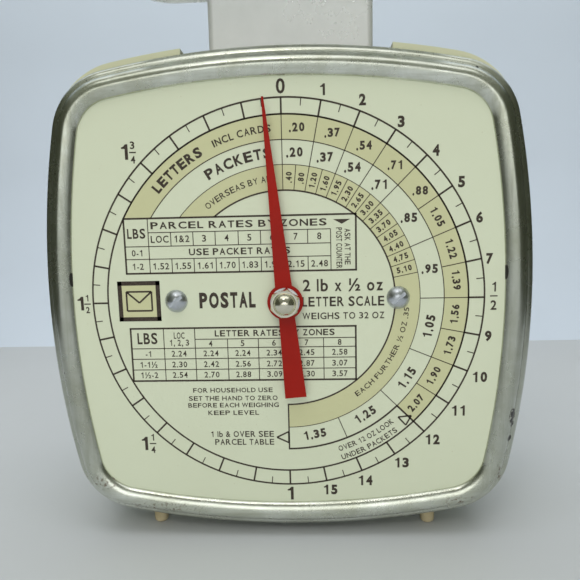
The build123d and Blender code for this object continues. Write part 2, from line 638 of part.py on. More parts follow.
# ---------------------------------------------------------------- write the sub-parts
os.makedirs("parts", exist_ok=True)
for make in (front_bezel, dial_plate, housing, housing_screws, chassis, bearing_strap, bearing_pillars,
             bearing_plate, front_bush, back_bush, dial_spacers, dial_screws, spring_bridge,
             bridge_screws, lift_washer, travel_bumper, carriage, platform, platform_screws, rack,
             rack_bracket, rack_screws, pinion, arbor, pointer, pointer_bush, pointer_washer,
             dome_nut, main_spring, spring_anchor, zero_knob):
    save(make(), make.__name__)
for row, z in zip(("upper", "lower"), LINK_Z):
    save(link(z), row + "_link")
    save(carriage_pin(z), row + "_carriage_pin")
    save(chassis_pin(z), row + "_chassis_pin")
for corner, (x, depth) in zip(("front_left", "front_right", "rear_left", "rear_right"), foot_places()):
    save(foot(x, depth), "foot_" + corner)
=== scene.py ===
import json
import math

import bmesh
import bpy
import numpy as np
from mathutils import Matrix, Vector


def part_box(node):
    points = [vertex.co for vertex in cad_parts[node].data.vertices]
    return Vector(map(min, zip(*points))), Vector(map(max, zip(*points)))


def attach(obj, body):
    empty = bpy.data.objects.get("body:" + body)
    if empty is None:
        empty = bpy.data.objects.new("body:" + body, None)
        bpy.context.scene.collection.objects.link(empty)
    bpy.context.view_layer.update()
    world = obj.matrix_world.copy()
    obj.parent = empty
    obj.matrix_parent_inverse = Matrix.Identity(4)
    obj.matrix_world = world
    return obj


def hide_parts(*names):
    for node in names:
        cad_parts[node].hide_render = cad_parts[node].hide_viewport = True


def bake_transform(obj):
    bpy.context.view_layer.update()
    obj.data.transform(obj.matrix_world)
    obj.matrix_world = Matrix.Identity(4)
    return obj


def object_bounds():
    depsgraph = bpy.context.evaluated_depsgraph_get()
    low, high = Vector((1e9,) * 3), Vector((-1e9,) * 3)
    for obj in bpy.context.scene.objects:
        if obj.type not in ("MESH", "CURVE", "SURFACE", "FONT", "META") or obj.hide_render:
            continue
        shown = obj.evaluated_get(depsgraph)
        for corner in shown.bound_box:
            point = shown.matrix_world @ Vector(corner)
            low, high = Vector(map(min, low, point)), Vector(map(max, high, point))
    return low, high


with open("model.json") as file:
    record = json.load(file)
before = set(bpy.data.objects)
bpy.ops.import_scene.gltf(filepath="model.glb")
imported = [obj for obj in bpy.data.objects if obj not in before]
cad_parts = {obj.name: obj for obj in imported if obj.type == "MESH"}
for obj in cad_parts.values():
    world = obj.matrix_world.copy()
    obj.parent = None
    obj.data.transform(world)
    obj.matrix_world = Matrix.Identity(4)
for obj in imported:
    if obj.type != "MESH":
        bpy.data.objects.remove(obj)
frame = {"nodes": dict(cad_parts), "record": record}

cad_low, cad_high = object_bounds()
MM = 0.001
UNIT = 60.0            # mm: radius of the dial's outer ring, and the unit of the print
BOW = 270.0            # mm: radius of the bezel's bowed sides
SIDE_STEPS, CORNER_STEPS = 26, 20
NODES = frame["nodes"]
low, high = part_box("dial_plate")
HUB_X, HUB_Z, DIAL_Y = (low.x + high.x) / 2, (low.z + high.z) / 2, low.y
FLOOR_Z = cad_low[2]


def at(x, depth, height):
    """World point from millimetres: x, depth behind the dial, height above the hub."""
    return Vector((HUB_X + x * MM, DIAL_Y + depth * MM, HUB_Z + height * MM))


# ------------------------------------------------------------------ mesh helpers
def mesh_piece(name, points, faces, smooth=True, sharp=35):
    """New mesh object, with its normals made to point outwards."""
    mesh = bpy.data.meshes.new(name)
    mesh.from_pydata([tuple(p) for p in points], [], faces)
    work = bmesh.new()
    work.from_mesh(mesh)
    bmesh.ops.recalc_face_normals(work, faces=work.faces)
    work.to_mesh(mesh)
    work.free()
    for face in mesh.polygons:
        face.use_smooth = smooth
    if smooth:
        mesh.set_sharp_from_angle(angle=math.radians(sharp))
    piece = bpy.data.objects.new(name, mesh)
    bpy.context.scene.collection.objects.link(piece)
    return piece


def bowed_ring(half, corner):
    """Points of a square with bowed sides and round corners, anticlockwise, in mm."""
    drop = BOW - half
    reach = (math.sqrt(2 * (BOW - corner) ** 2 - drop ** 2) - drop) / 2
    side_half = math.asin(reach / (BOW - corner))
    corner_half = math.pi / 4 - side_half
    ring = []
    for turn in range(4):
        middle = math.pi / 2 * turn
        for step in range(SIDE_STEPS):
            a = -side_half + 2 * side_half * step / SIDE_STEPS
            u, v = BOW * math.cos(a) - drop, BOW * math.sin(a)
            ring.append((u * math.cos(middle) - v * math.sin(middle),
                         u * math.sin(middle) + v * math.cos(middle)))
        diagonal = middle + math.pi / 4
        cx, cz = reach * math.sqrt(2) * math.cos(diagonal), reach * math.sqrt(2) * math.sin(diagonal)
        for step in range(CORNER_STEPS):
            a = diagonal - corner_half + 2 * corner_half * step / CORNER_STEPS
            ring.append((cx + corner * math.cos(a), cz + corner * math.sin(a)))
    return ring


def swept_ring(name, profile, sharp):
    """Sweeps a closed profile of (half width, depth, corner radius) around the bowed square."""
    rings = [bowed_ring(half, corner) for half, depth, corner in profile]
    points = [at(x, depth, z) for ring, (half, depth, corner) in zip(rings, profile) for x, z in ring]
    rows, count = len(profile), len(rings[0])
    faces = []
    for row in range(rows):
        after = (row + 1) % rows
        for step in range(count):
            right = (step + 1) % count
            faces.append((row * count + step, row * count + right,
                          after * count + right, after * count + step))
    return mesh_piece(name, points, faces, sharp=sharp)


def smooth_path(points, steps):
    """Catmull-Rom curve through points given as tuples, with so many steps between two of them."""
    points = [np.array(p, float) for p in points]
    ends = [2 * points[0] - points[1]] + points + [2 * points[-1] - points[-2]]
    path = []
    for k in range(1, len(ends) - 2):
        p0, p1, p2, p3 = ends[k - 1:k + 3]
        for step in range(steps):
            t = step / steps
            path.append(0.5 * (2 * p1 + (p2 - p0) * t + (2 * p0 - 5 * p1 + 4 * p2 - p3) * t ** 2
                               + (3 * p1 - p0 - 3 * p2 + p3) * t ** 3))
    path.append(points[-1])
    return [tuple(p) for p in path]


# ------------------------------------------------------------------ materials
DIRT = (0.42, 0.36, 0.2)


class Look:
    """Small builder for a node material around one Principled shader."""

    def __init__(self, name, color, metallic=0.0, roughness=0.5, **more):
        self.material = bpy.data.materials.new(name)
        self.material.use_nodes = True
        self.tree = self.material.node_tree
        self.shader = self.tree.nodes["Principled BSDF"]
        self.shader.inputs["Base Color"].default_value = (*color, 1)
        self.shader.inputs["Metallic"].default_value = metallic
        self.shader.inputs["Roughness"].default_value = roughness
        for key, value in more.items():
            self.shader.inputs[key.replace("_", " ")].default_value = value
        self.place = self.node("ShaderNodeTexCoord").outputs["Object"]
        self.height = None

    def node(self, kind, **settings):
        made = self.tree.nodes.new(kind)
        for key, value in settings.items():
            setattr(made, key, value)
        return made

    def link(self, output, socket):
        self.tree.links.new(output, socket)

    def noise(self, scale, detail=3.0, rough=0.55, stretch=(1, 1, 1), seed=(0, 0, 0), distortion=0.0):
        mapping = self.node("ShaderNodeMapping")
        mapping.inputs["Scale"].default_value = stretch
        mapping.inputs["Location"].default_value = seed
        self.link(self.place, mapping.inputs["Vector"])
        noise = self.node("ShaderNodeTexNoise")
        noise.inputs["Scale"].default_value = scale
        noise.inputs["Detail"].default_value = detail
        noise.inputs["Roughness"].default_value = rough
        noise.inputs["Distortion"].default_value = distortion
        self.link(mapping.outputs["Vector"], noise.inputs["Vector"])
        return noise.outputs["Fac"]

    def ramp(self, source, *stops):
        """Colour ramp; a stop is (position, grey) or (position, (r, g, b))."""
        ramp = self.node("ShaderNodeValToRGB")
        while len(ramp.color_ramp.elements) < len(stops):
            ramp.color_ramp.elements.new(0.5)
        for element, (position, value) in zip(ramp.color_ramp.elements, stops):
            element.position = position
            element.color = (*value, 1) if isinstance(value, tuple) else (value, value, value, 1)
        self.link(source, ramp.inputs["Fac"])
        return ramp.outputs["Color"]

    def mix(self, factor, first, second, blend="MIX"):
        """Mixes two colours, each a socket or an (r, g, b)."""
        mix = self.node("ShaderNodeMix", data_type="RGBA", blend_type=blend)
        for value, socket in ((factor, mix.inputs[0]), (first, mix.inputs[6]), (second, mix.inputs[7])):
            if isinstance(value, bpy.types.NodeSocket):
                self.link(value, socket)
            elif isinstance(value, tuple):
                socket.default_value = (*value, 1)
            else:
                socket.default_value = value
        return mix.outputs[2]

    def math(self, operation, first, second=None):
        made = self.node("ShaderNodeMath", operation=operation)
        for value, socket in zip((first, second), made.inputs):
            if isinstance(value, bpy.types.NodeSocket):
                self.link(value, socket)
            elif value is not None:
                socket.default_value = value
        return made.outputs[0]

    def near(self, point, radius, soft=0.5, stretch=(1, 1, 1)):
        """1 inside a blob around a point of the object, falling to 0 at its edge."""
        shift = self.node("ShaderNodeVectorMath", operation="SUBTRACT")
        self.link(self.place, shift.inputs[0])
        shift.inputs[1].default_value = point
        scale = self.node("ShaderNodeVectorMath", operation="MULTIPLY")
        self.link(shift.outputs[0], scale.inputs[0])
        scale.inputs[1].default_value = stretch
        length = self.node("ShaderNodeVectorMath", operation="LENGTH")
        self.link(scale.outputs[0], length.inputs[0])
        fade = self.node("ShaderNodeMapRange", interpolation_type="SMOOTHSTEP")
        fade.inputs["From Min"].default_value = radius
        fade.inputs["From Max"].default_value = radius * soft
        self.link(length.outputs["Value"], fade.inputs["Value"])
        return fade.outputs["Result"]

    def color(self, source):
        self.link(source, self.shader.inputs["Base Color"])
        return self

    def rough(self, source, least, most):
        spread = self.node("ShaderNodeMapRange")
        spread.inputs["To Min"].default_value = least
        spread.inputs["To Max"].default_value = most
        self.link(source, spread.inputs["Value"])
        self.link(spread.outputs["Result"], self.shader.inputs["Roughness"])
        return self

    def bump(self, source, strength, distance):
        bump = self.node("ShaderNodeBump")
        bump.inputs["Strength"].default_value = strength
        bump.inputs["Distance"].default_value = distance
        self.link(source, bump.inputs["Height"])
        if self.height is not None:
            self.link(self.height, bump.inputs["Normal"])
        self.height = bump.outputs["Normal"]
        self.link(self.height, self.shader.inputs["Normal"])
        return self


def enamel(name, color, amount, roughness):
    """Baked enamel with a faint orange peel, slight yellowing and fine specks of dirt."""
    look = Look(name, color, roughness=roughness, Specular_IOR_Level=0.42)
    yellowed = tuple(0.62 * c + 0.38 * d for c, d in zip(color, DIRT))
    broad = look.ramp(look.noise(26, 4, 0.6), (0.42, 0.0), (0.72, amount))
    specks = look.ramp(look.noise(1900, 2, 0.5), (0.74, 0.0), (0.79, 0.5))
    look.color(look.mix(specks, look.mix(broad, color, yellowed), DIRT))
    look.rough(look.noise(70, 4), roughness - 0.08, roughness + 0.12)
    return look.bump(look.noise(1300, 2), 0.05, 0.06 * MM)


def metal(name, color, roughness, grain=(1, 1, 1), stain=(0.3, 0.22, 0.12), stained=0.3, scale=120,
          streak=900):
    """Worn metal: grain along one direction, cloudy roughness and small stains."""
    look = Look(name, color, metallic=1.0, roughness=roughness)
    cloud = look.noise(scale, 5, 0.62)
    spots = look.ramp(look.noise(scale * 4, 3, 0.6, seed=(3, 1, 2)), (0.6, 0.0), (0.74, stained))
    toned = look.mix(look.ramp(cloud, (0.3, 0.0), (0.75, 0.55)), color, tuple(c * 0.8 for c in color))
    look.color(look.mix(spots, toned, stain))
    look.rough(cloud, max(0.05, roughness - 0.09), roughness + 0.14)
    return look.bump(look.noise(streak, 3, 0.6, stretch=grain), 0.25, 0.03 * MM)


def dull(name, color, other, roughness, scale=400, depth=0.12 * MM):
    """Rubber or moulded plastic: mottled colour, fine texture and scuffs."""
    look = Look(name, color, roughness=roughness)
    pale = tuple(min(1, 1.7 * c + 0.04) for c in other)
    blotch = look.ramp(look.noise(scale * 0.3, 4, 0.6), (0.4, 0.0), (0.7, 0.7))
    scratched = look.noise(scale * 0.8, 2, 0.5, stretch=(1, 1, 6), seed=(5, 2, 1))
    scuff = look.ramp(scratched, (0.66, 0.0), (0.74, 0.4))
    look.color(look.mix(scuff, look.mix(blotch, color, other), pale))
    look.rough(look.noise(scale, 3), roughness - 0.1, roughness + 0.12)
    return look.bump(look.noise(scale * 3, 3), 0.4, depth)


# ------------------------------------------------------------------ camera
CAMERA_PLACE = Vector((0.00994, -0.20846, 0.10801))
sight = Vector((-0.04832, 0.98729, -0.15142)).normalized()
right = sight.cross(Vector((0.01707, 0.15239, 0.98817))).normalized()
upward = right.cross(sight)
camera_data = bpy.data.cameras.new("camera")
camera_data.sensor_fit = "HORIZONTAL"
camera_data.sensor_width = 36
camera_data.lens = 36
camera_data.clip_start = 0.01
camera_data.clip_end = 20
camera = bpy.data.objects.new("camera", camera_data)
bpy.context.scene.collection.objects.link(camera)
camera.matrix_world = Matrix.Translation(CAMERA_PLACE) @ Matrix((right, upward, -sight)).transposed().to_4x4()
bpy.context.scene.camera = camera

# ------------------------------------------------------------------ stage
STAGE_HALF, FLOOR_FRONT = 1.6, -1.8
COVE = ((0.225, 0.0), (0.30, 0.05), (0.345, 0.14), (0.36, 0.25), (0.36, 1.0))    # (y, height) up the wall
FLOOR_COLOR, WALL_COLOR, FLAG_COLOR = (0.56, 0.58, 0.60), (0.60, 0.665, 0.76), (0.09, 0.095, 0.065)
FLAG_X, FLAG_NEAR, FLAG_FAR, FLAG_TOP = 0.36, -0.5, 0.34, 0.34    # dark cards to the left and right
FRONT_FLAG = (0.16, -0.36, 0.205, 0.272)                          # half width, y, bottom, top
world = bpy.data.worlds.new("room")
world.use_nodes = True
world.node_tree.nodes["Background"].inputs["Color"].default_value = (0.32, 0.345, 0.28, 1)
world.node_tree.nodes["Background"].inputs["Strength"].default_value = 0.75
bpy.context.scene.world = world
bpy.context.scene.view_settings.view_transform = "Standard"


def paper(sheet, color):
    """Plain paper on a piece of the studio."""
    look = Look(sheet.name + "_paper", color, roughness=0.8, Specular_IOR_Level=0.2)
    tone = look.ramp(look.noise(9, 4, 0.6), (0.35, 0.0), (0.7, 0.12))
    look.color(look.mix(tone, color, tuple(0.85 * c for c in color)))
    look.bump(look.noise(900, 4, 0.7), 0.12, 0.2 * MM)
    sheet.data.materials.append(look.material)


def stage_sheet(name, points, color, seen=True):
    """Flat sheet of the studio; an unseen one only darkens reflections."""
    sheet = mesh_piece(name, [Vector(p) for p in points], [tuple(range(len(points)))], smooth=False)
    sheet.visible_camera = seen
    paper(sheet, color)


floor_back = COVE[0][0]
stage_sheet("stage_floor", [(-STAGE_HALF, FLOOR_FRONT, FLOOR_Z), (STAGE_HALF, FLOOR_FRONT, FLOOR_Z),
                            (STAGE_HALF, floor_back, FLOOR_Z), (-STAGE_HALF, floor_back, FLOOR_Z)],
            FLOOR_COLOR)
wall_points = [Vector((side * STAGE_HALF, y, FLOOR_Z + z)) for y, z in COVE for side in (-1, 1)]
wall = mesh_piece("stage_wall", wall_points,
                  [(2 * k, 2 * k + 1, 2 * k + 3, 2 * k + 2) for k in range(len(COVE) - 1)], sharp=60)
paper(wall, WALL_COLOR)
flag_foot = FLOOR_Z + MM
for name, x in (("stage_flag_left", -FLAG_X), ("stage_flag_right", FLAG_X)):
    stage_sheet(name, [(x, FLAG_NEAR, flag_foot), (x, FLAG_FAR, flag_foot), (x, FLAG_FAR, FLAG_TOP),
                       (x, FLAG_NEAR, FLAG_TOP)], FLAG_COLOR, seen=False)
half, y, bottom, top = FRONT_FLAG
stage_sheet("stage_flag_front", [(-half, y, bottom), (half, y, bottom), (half, y, top), (-half, y, top)],
            FLAG_COLOR, seen=False)


def area_light(name, place, target, size, power, color, glossy=True):
    """Soft rectangular lamp aimed at a point; one that isn't glossy is left out of reflections."""
    data = bpy.data.lights.new(name, "AREA")
    data.shape = "RECTANGLE"
    data.size, data.size_y = size
    data.energy = power
    data.color = color
    lamp = bpy.data.objects.new(name, data)
    bpy.context.scene.collection.objects.link(lamp)
    lamp.location = place
    lamp.rotation_euler = (Vector(target) - Vector(place)).to_track_quat("-Z", "Y").to_euler()
    lamp.visible_camera = False
    lamp.visible_glossy = glossy


DAYLIGHT, WARM = (0.98, 1.0, 0.99), (1.0, 0.98, 0.93)
WINDOW_Y = -1.25
area_light("ceiling", (0.0, -0.12, 0.95), (0, 0, 0.05), (0.9, 0.6), 3.2, (0.97, 0.98, 1.0), glossy=False)
area_light("front", (-0.15, -0.95, 0.85), (0, -0.2, 0.06), (0.9, 0.4), 3.55, WARM, glossy=False)
area_light("window", (0, WINDOW_Y, 0.47), (0, 0, 0.17), (0.7, 0.26), 1.0, DAYLIGHT)
area_light("low_window", (0, WINDOW_Y, 0.10), (0, 0, 0.05), (1.2, 0.16), 2.6, DAYLIGHT, glossy=False)
area_light("horizon", (0, WINDOW_Y, 0.23), (0, 0, 0.05), (1.2, 0.20), 1.2, DAYLIGHT)
area_light("sky", (0, -0.30, 0.75), (0, 0, 0.15), (0.9, 0.30), 0.95, DAYLIGHT)
area_light("back_top", (0, 0.32, 0.82), (0, 0.32, 0), (1.3, 0.52), 1.75, (0.97, 0.99, 1.0))
area_light("glint", (-0.1, -0.55, 0.75), (0, 0, 0.08), (0.16, 0.10), 0.35, (1.0, 0.98, 0.95))

# ------------------------------------------------------------------ looks
# Marks on the bezel: x and height from the hub and a radius in mm, the share of the radius at which the
# edge starts to fade, and how much the mark is narrowed across and upwards.
STAINS = ((-44, -67.3, 17, 0.3, 1, 7.0), (54, -65, 7, 0.3, 1, 2.4), (-60, -58.5, 6, 0.3, 1, 2.0),
          (66, -56, 5, 0.3, 2, 1))
PITS = ((69.3, -37.2, 1.5, 0.8, 1, 0.55), (69.6, -40.2, 0.9, 0.8, 1, 0.8), (68.9, -45.0, 1.0, 0.8, 1, 0.8),
        (56.4, 66.6, 0.55, 0.8, 1, 1), (-57.5, 66.8, 0.3, 0.8, 1, 1), (72.4, 30.0, 0.3, 0.8, 1, 0.6),
        (-70.5, -22.0, 0.3, 0.8, 1, 0.6), (-69.5, 41.0, 0.35, 0.8, 1, 0.5), (12.0, -69.4, 0.35, 0.8, 1, 1.5),
        (-14.0, 70.1, 0.3, 0.8, 1, 1.6), (33.0, 70.5, 0.25, 0.8, 1, 1), (70.8, -60.0, 0.4, 0.8, 1, 0.8))
# The two notches are painted shade: black colour standing in for the shadow inside gaps in the lip.
NOTCH_SHADE = tuple((x, 7.6, 2.4, 0.85, 4.4, 1) for x in (66.1, -66.1))


def blobs(look, places):
    """Strongest of several marks on the bezel."""
    found = None
    for x, z, radius, edge, wide, tall in places:
        blob = look.near(at(x, 0, z), radius * MM, edge, (wide, 0.15, tall))
        found = blob if found is None else look.math("MAXIMUM", found, blob)
    return found


def bezel_chrome():
    """Drawn and plated strip: lines along each side, tarnish, painted shade on the left and right sides,
    specks, rust, pits and two notches painted black as shade.
    """
    look = Look("bezel_chrome", (0.78, 0.79, 0.76), metallic=1.0, roughness=0.2)
    place = look.node("ShaderNodeSeparateXYZ")
    look.link(look.place, place.inputs[0])
    sideways = look.math("ABSOLUTE", place.outputs[0])
    upright = look.math("ABSOLUTE", look.math("SUBTRACT", place.outputs[2], HUB_Z))
    along_x = look.noise(900, 3, 0.6, stretch=(0.05, 1, 1))
    along_z = look.noise(900, 3, 0.6, stretch=(1, 1, 0.05))
    drawn = look.mix(look.math("GREATER_THAN", sideways, upright), along_x, along_z)
    blotchy = look.noise(34, 6, 0.7, seed=(2, 5, 1), distortion=0.6)
    tone = look.mix(look.ramp(blotchy, (0.40, 0.0), (0.66, 0.75)), (0.80, 0.82, 0.76), (0.50, 0.51, 0.40))
    tone = look.mix(look.ramp(drawn, (0.35, 0.0), (0.72, 0.5)), tone, (0.42, 0.43, 0.34))
    # Painted shade: the left and right sides of the bezel are darkened, which dims the reflections they show.
    lean = look.math("MULTIPLY", 16.0, look.math("SUBTRACT", sideways, upright))
    painted_side_shade = look.ramp(look.math("ADD", 0.5, lean), (0.25, 0.0), (0.9, 0.38))
    tone = look.mix(painted_side_shade, tone, (0.20, 0.21, 0.165))
    specks = look.ramp(look.noise(1500, 2, 0.5, seed=(1, 7, 3)), (0.72, 0.0), (0.77, 0.75))
    tone = look.mix(specks, tone, (0.10, 0.07, 0.045))
    crust = look.ramp(look.noise(760, 4, 0.7, seed=(4, 4, 4)), (0.53, 0.0), (0.62, 1.0))
    rust = look.math("MULTIPLY", crust, blobs(look, STAINS))
    tone = look.mix(rust, tone, (0.09, 0.055, 0.03))
    torn = look.ramp(look.noise(900, 3, 0.6), (0.34, 0.0), (0.42, 1.0))
    # Pits are dark rust; the notches are painted shade, black where the lip has gaps.
    dark = look.math("MAXIMUM", look.math("MULTIPLY", blobs(look, PITS), torn), blobs(look, NOTCH_SHADE))
    look.color(look.mix(dark, tone, (0.018, 0.016, 0.015)))
    bare = look.math("SUBTRACT", 1.0, look.math("MAXIMUM", dark, look.math("MULTIPLY", rust, 0.8)))
    look.link(bare, look.shader.inputs["Metallic"])
    cloud = look.noise(60, 6, 0.65)
    look.rough(look.math("MAXIMUM", cloud, look.math("MAXIMUM", rust, dark)), 0.13, 0.40)
    look.bump(look.noise(240, 4, 0.6), 0.2, 0.12 * MM)
    return look.bump(drawn, 0.15, 0.03 * MM)


def pointer_red():
    """Red lacquer, darker where it is worn, with small nicks."""
    look = Look("pointer_red", (0.30, 0.008, 0.003), roughness=0.46, Specular_IOR_Level=0.22)
    worn = look.ramp(look.noise(90, 5, 0.6), (0.4, 0.0), (0.72, 0.55))
    nicks = look.ramp(look.noise(1100, 2, 0.5), (0.74, 0.0), (0.78, 0.5))
    lacquer = look.mix(worn, (0.32, 0.008, 0.003), (0.21, 0.008, 0.004))
    look.color(look.mix(nicks, lacquer, (0.16, 0.02, 0.01)))
    look.rough(look.noise(160, 4), 0.34, 0.56)
    return look.bump(look.noise(900, 3), 0.12, 0.04 * MM)


def printing_ink():
    """Brown-black ink, a little uneven."""
    look = Look("dial_ink", (0.035, 0.022, 0.014), roughness=0.5)
    thin = look.ramp(look.noise(1500, 3), (0.45, 0.0), (0.7, 1.0))
    look.color(look.mix(thin, (0.032, 0.02, 0.013), (0.06, 0.045, 0.032)))
    return look.bump(look.noise(2500, 2), 0.1, 0.03 * MM)


dial_look = enamel("dial_enamel", (0.65, 0.69, 0.53), 0.12, 0.42)
housing_look = enamel("housing_enamel", (0.63, 0.64, 0.45), 0.35, 0.4)
band_look = enamel("band_print", (0.57, 0.57, 0.34), 0.1, 0.45)
ink_look = printing_ink()
chrome = bezel_chrome()
red = pointer_red()
neck_look = metal("neck_chrome", (0.97, 0.98, 0.97), 0.26, grain=(6, 6, 0.4), stained=0.03, scale=40,
                  streak=500)
neck_look.shader.inputs["Metallic"].default_value = 0.35
zinc = metal("zinc_steel", (0.62, 0.65, 0.70), 0.3, stained=0.25, scale=260, streak=1500)
frame_steel = metal("frame_steel", (0.50, 0.50, 0.49), 0.4, grain=(0.3, 3, 3), stained=0.5)
turned = metal("turned_steel", (0.60, 0.60, 0.58), 0.28, grain=(1, 8, 1), stained=0.2, streak=1600)
spring_look = metal("spring_steel", (0.30, 0.30, 0.31), 0.34, stained=0.5, scale=300, streak=2500)
nickel = metal("nut_nickel", (0.78, 0.74, 0.62), 0.17, stained=0.12, scale=300, streak=700)
brass = metal("brass", (0.72, 0.52, 0.22), 0.3, grain=(1, 1, 5), stain=(0.18, 0.1, 0.03), stained=0.5,
              scale=200)
rubber = dull("black_rubber", (0.022, 0.021, 0.02), (0.05, 0.048, 0.044), 0.75)
foot_look = dull("foot_rubber", (0.50, 0.42, 0.26), (0.40, 0.32, 0.18), 0.55, scale=700, depth=0.06 * MM)
knob_look = dull("knob_plastic", (0.03, 0.03, 0.032), (0.055, 0.055, 0.058), 0.42, scale=500)

SLOT_LOOK = {"bezel_chrome": chrome, "neck_chrome": neck_look, "dial_enamel": dial_look,
             "housing_enamel": housing_look, "zinc_steel": zinc, "frame_steel": frame_steel,
             "turned_steel": turned, "spring_steel": spring_look, "nut_nickel": nickel, "brass": brass,
             "pointer_red": red, "black_rubber": rubber, "foot_rubber": foot_look, "knob_plastic": knob_look}
for entry in frame["record"]["subparts"]:
    mesh = NODES[entry["node"]].data
    mesh.materials.clear()
    mesh.materials.append(SLOT_LOOK[entry["material_slot"]].material)


def finish_piece(piece, body, slot_name, look, *nodes):
    """Rides and dresses a new piece, and hides the nodes it stands for."""
    piece.data.materials.clear()
    piece.data.materials.append(look.material)
    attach(piece, body)
    if nodes:
        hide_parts(*nodes)


# ------------------------------------------------------------------ bezel
OPENING_HALF, OPENING_CORNER, CORNER_GROWTH = 66.0, 12.0, 0.9
# The swell from the lip to the crease, then the flange out to the rim: (half width, depth) in mm.
SWELL = [(66.0, 0.25), (66.0, -0.1), (66.22, -0.55), (66.8, -1.08), (67.7, -1.56), (68.8, -1.88),
         (69.8, -1.93), (70.7, -1.68), (71.5, -1.16), (72.2, -0.38), (72.7, 0.45), (73.05, 1.12)]
FLANGE = [(73.5, 1.3), (74.15, 1.62), (74.75, 2.2), (75.18, 2.95), (75.38, 3.75), (75.24, 4.2)]
# The hidden side, from the flange's back around the skirt and the dial's seat: with the corner radius.
SKIRT_AND_SEAT = [(71.5, 4.2, 17.0), (71.4, 6.1, 16.9), (71.3, 6.2, 16.8), (70.7, 6.2, 16.2),
                  (70.6, 6.1, 16.1), (70.6, 0.6, 16.1), (69.9, -0.6, 15.5), (68.7, -0.6, 14.4),
                  (67.6, 0.0, 13.4), (66.2, 0.25, 12.2)]
front = [(half, depth, OPENING_CORNER + CORNER_GROWTH * (half - OPENING_HALF))
         for half, depth in smooth_path(SWELL + FLANGE, 4)]
bezel = swept_ring("bezel_ring", front + SKIRT_AND_SEAT, sharp=50)
finish_piece(bezel, "base", "bezel_chrome", chrome, "front_bezel")

# ------------------------------------------------------------------ dial print
BAND_TOP = -0.02       # mm in front of the enamel
INK_TOP = -0.05
ROOT = 0.02            # mm: how far the print reaches into the enamel
ARC_STEP = 2.0         # degrees


def print_point(x, y, depth):
    """World point from dial units and a depth in mm."""
    return at(x * UNIT, depth, y * UNIT)


def flat_solid(loop, front):
    """Points and faces of a thin solid over a simple outline in dial units."""
    count = len(loop)
    points = [print_point(x, y, depth) for depth in (front, ROOT) for x, y in loop]
    faces = [tuple(range(count)), tuple(range(2 * count - 1, count - 1, -1))]
    faces += [((k + 1) % count, k, count + k, count + (k + 1) % count) for k in range(count)]
    return points, faces


def polar(radius, angle):
    """Dial units from a radius and an angle in degrees clockwise from the top."""
    a = math.radians(angle)
    return radius * math.sin(a), radius * math.cos(a)


def sector(inner, outer, start, end):
    """Rows of (inner point, outer point) of a ring's part; start and end may depend on the radius."""
    first = start if callable(start) else (lambda radius: start)
    last = end if callable(end) else (lambda radius: end)
    count = max(1, int(abs(last(outer) - first(outer)) / ARC_STEP))
    rows = []
    for k in range(count + 1):
        t = k / count
        rows.append((polar(inner, first(inner) * (1 - t) + last(inner) * t),
                     polar(outer, first(outer) * (1 - t) + last(outer) * t)))
    return rows


def strip_solid(rows, front):
    """Closed thin solid from rows of (inner point, outer point)."""
    points = [print_point(x, y, depth) for row in rows for x, y in row for depth in (front, ROOT)]
    faces = []
    for i in range(0, 4 * (len(rows) - 1), 4):
        j = i + 4
        faces += [(i, i + 2, j + 2, j), (i + 1, j + 1, j + 3, i + 3), (i, j, j + 1, i + 1),
                  (i + 2, i + 3, j + 3, j + 2)]
    end = 4 * (len(rows) - 1)
    if rows[0] != rows[-1]:
        faces += [(0, 1, 3, 2), (end, end + 2, end + 3, end + 1)]
    return points, faces


class Print:
    """Collects thin solids of one printed layer and makes a single piece of them."""

    def __init__(self, front):
        self.front, self.points, self.faces = front, [], []

    def add(self, points, faces):
        start = len(self.points)
        self.points += points
        self.faces += [tuple(start + k for k in face) for face in faces]

    def outline(self, loop):
        self.add(*flat_solid(loop, self.front))

    def bar(self, a, b, width):
        """Straight stroke between two points."""
        (ax, ay), (bx, by) = a, b
        length = math.hypot(bx - ax, by - ay)
        nx, ny = -(by - ay) / length * width / 2, (bx - ax) / length * width / 2
        self.outline([(ax + nx, ay + ny), (ax - nx, ay - ny), (bx - nx, by - ny), (bx + nx, by + ny)])

    def ray(self, angle, inner, outer, width):
        self.bar(polar(inner, angle), polar(outer, angle), width)

    def band(self, inner, outer, start, end):
        self.add(*strip_solid(sector(inner, outer, start, end), self.front))

    def arc(self, radius, start, end, width):
        self.band(radius - width / 2, radius + width / 2, start, end)

    def letters(self, xs, ys, fronts, faces):
        """Adds lettering whose points are in dial units, on the front or on the root."""
        depths = [self.front if front else ROOT for front in fronts]
        self.add([print_point(x, y, depth) for x, y, depth in zip(xs, ys, depths)], faces)

    def piece(self, name, look):
        """Makes the layer a piece of the dial."""
        finish_piece(mesh_piece(name, self.points, self.faces, smooth=False), "base", "dial_enamel", look)


GLYPHS = {}            # outlines already made, by letter and boldness
CAPITALS = (667, 667, 722, 722, 667, 611, 778, 722, 278, 500, 667, 556, 833,
            722, 778, 667, 778, 722, 667, 611, 722, 667, 944, 667, 667, 611)
ADVANCE = dict(zip("ABCDEFGHIJKLMNOPQRSTUVWXYZ", CAPITALS))      # letter widths of a plain grotesque
ADVANCE.update({"l": 222, "b": 556, "x": 520, "o": 556, "z": 500, "&": 667, ".": 278, ",": 278, "-": 333,
                "½": 834, " ": 278})
DIGIT_ADVANCE, EM = 556, 720       # capitals and figures are EM high in the same unit
BEARING = 119                      # blank on both sides of a letter, in that unit
FIGURE_ONE_SHIFT, NARROW_STRETCH = 0.06, 1.15
GLYPH_THICKNESS, WELD = 0.05, 1e-5


